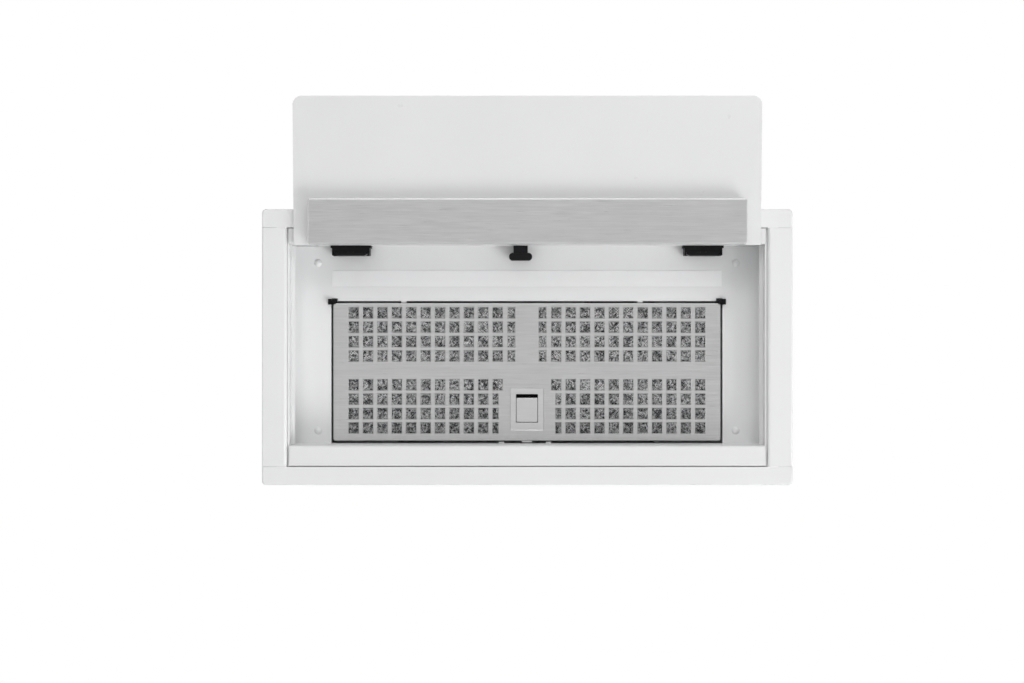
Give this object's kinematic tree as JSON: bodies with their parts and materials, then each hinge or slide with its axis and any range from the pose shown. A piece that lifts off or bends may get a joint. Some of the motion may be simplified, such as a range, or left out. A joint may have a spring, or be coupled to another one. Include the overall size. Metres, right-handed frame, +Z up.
{
  "type": "integrated range hood",
  "caption": "Built-in range hood with slide-out visor, steel grip strip, perforated grease filter, long light, rocker switches, blower and duct collar.",
  "frame": {"origin": "centre of the cabinet cut-out, in the plane where the trim frame seats under the board", "axes": "+Z up through the duct collar, -Y to the room side where the visor slides out, +X to the right when the hood is seen from below with the room side at the top"},
  "size_m": [0.598, 0.4379, 0.3363],
  "materials": {
    "white_enamel": "smooth satin white enamel",
    "tray_enamel": "satin white enamel on pressed sheet",
    "guide_enamel": "satin white enamel",
    "visor_enamel": "satin pale grey-white enamel",
    "screw_caps": "white enamelled domed heads",
    "brushed_steel": "stainless steel brushed left to right",
    "latch_steel": "stainless steel brushed left to right",
    "wire_mesh": "layered woven wire",
    "diffuser": "frosted white",
    "circuit_board": "white solder mask with light chips",
    "black_plastic": "black moulded, fine grain",
    "rocker_plastic": "black moulded, satin",
    "zinc_sheet": "bright zinc plate",
    "galvanised_sheet": "galvanised sheet with pale spangle",
    "screw_steel": "bright zinc screw",
    "ground_steel": "ground steel",
    "blower_plastic": "grey moulded",
    "impeller_plastic": "dark grey moulded",
    "motor_casting": "satin grey coat",
    "bush_rubber": "black rubber",
    "capacitor_can": "pale can",
    "collar_plastic": "dark grey moulded",
    "damper_plastic": "grey moulded",
    "box_plastic": "black moulded, fine grain",
    "terminal_plastic": "natural nylon"
  },
  "bodies": {
    "hood": {"trim_front_rail": "white_enamel", "trim_rear_rail": "white_enamel", "trim_left_band": "white_enamel", "trim_right_band": "white_enamel", "frame_corner_plates": "zinc_sheet", "frame_screws": "screw_steel", "inner_tray": "tray_enamel", "tray_screws": "screw_caps", "guide_left": "guide_enamel", "guide_right": "guide_enamel", "lamp_diffuser": "diffuser", "led_board": "circuit_board", "lamp_housing": "zinc_sheet", "lamp_switch_case": "black_plastic", "fan_switch_case": "black_plastic", "speed_switch_case": "black_plastic", "filter_hooks": "black_plastic", "lower_casing": "galvanised_sheet", "casing_posts": "zinc_sheet", "upper_casing": "galvanised_sheet", "casing_lid": "galvanised_sheet", "casing_screws": "screw_steel", "cabinet_brackets": "zinc_sheet", "bracket_screws": "screw_steel", "blower_left": "blower_plastic", "blower_right": "blower_plastic", "motor": "motor_casting", "motor_bracket": "zinc_sheet", "motor_bushes": "bush_rubber", "motor_screws": "screw_steel", "capacitor": "capacitor_can", "capacitor_clip": "zinc_sheet", "duct_collar": "collar_plastic", "damper_pins": "ground_steel", "terminal_box": "box_plastic", "terminal_cover": "box_plastic", "terminal_block": "terminal_plastic", "cable_gland": "black_plastic"},
    "visor": {"visor_panel": "visor_enamel", "visor_grip": "brushed_steel", "visor_arm_left": "zinc_sheet", "visor_arm_right": "zinc_sheet", "visor_screws": "screw_steel"},
    "filter": {"filter_plate": "brushed_steel", "filter_mesh": "wire_mesh", "filter_frame": "brushed_steel", "filter_lugs": "black_plastic", "latch_case": "brushed_steel", "latch_spring": "screw_steel"},
    "latch_button": {"latch_button": "latch_steel"},
    "lamp_switch_rocker": {"lamp_switch_rocker": "rocker_plastic"},
    "fan_switch_rocker": {"fan_switch_rocker": "rocker_plastic"},
    "speed_knob": {"speed_knob": "rocker_plastic"},
    "fan_rotor": {"impeller": "impeller_plastic", "motor_shaft": "ground_steel"},
    "damper_front": {"damper_front": "damper_plastic"},
    "damper_rear": {"damper_rear": "damper_plastic"}
  },
  "joints": [
    {"name": "visor_slide", "type": "slide", "parent": "hood", "child": "visor", "axis": [0, 1, 0], "range_m": [0, 0.127]},
    {"name": "filter_drop", "type": "hinge", "parent": "hood", "child": "filter", "pos_m": [0, -0.0522, 0.0352], "axis": [1, 0, 0], "range_deg": [-70, 0]},
    {"name": "latch_slide", "type": "slide", "parent": "filter", "child": "latch_button", "axis": [0, -1, 0], "range_m": [0, 0.0036], "stiffness_N_per_m": 800, "springref_m": -0.002, "deforming": ["latch_spring"]},
    {"name": "lamp_rocker_tilt", "type": "hinge", "parent": "hood", "child": "lamp_switch_rocker", "pos_m": [-0.2013, -0.1119, 0.026], "axis": [0, 0, 1], "range_deg": [-3.5, 3.5]},
    {"name": "fan_rocker_tilt", "type": "hinge", "parent": "hood", "child": "fan_switch_rocker", "pos_m": [0.2013, -0.1119, 0.026], "axis": [0, 0, 1], "range_deg": [-3.5, 3.5]},
    {"name": "speed_knob_slide", "type": "slide", "parent": "hood", "child": "speed_knob", "axis": [1, 0, 0], "range_m": [0, 0.0148]},
    {"name": "fan_spin", "type": "hinge", "parent": "hood", "child": "fan_rotor", "pos_m": [0, -0.035, 0.158], "axis": [1, 0, 0], "continuous": true},
    {"name": "damper_rear_swing", "type": "hinge", "parent": "hood", "child": "damper_rear", "pos_m": [0, 0.0391, 0.279], "axis": [1, 0, 0], "range_deg": [0, 80]},
    {"name": "damper_front_swing", "type": "hinge", "parent": "hood", "child": "damper_front", "pos_m": [0, 0.0319, 0.279], "axis": [-1, 0, 0], "range_deg": [0, 80]}
  ]
}
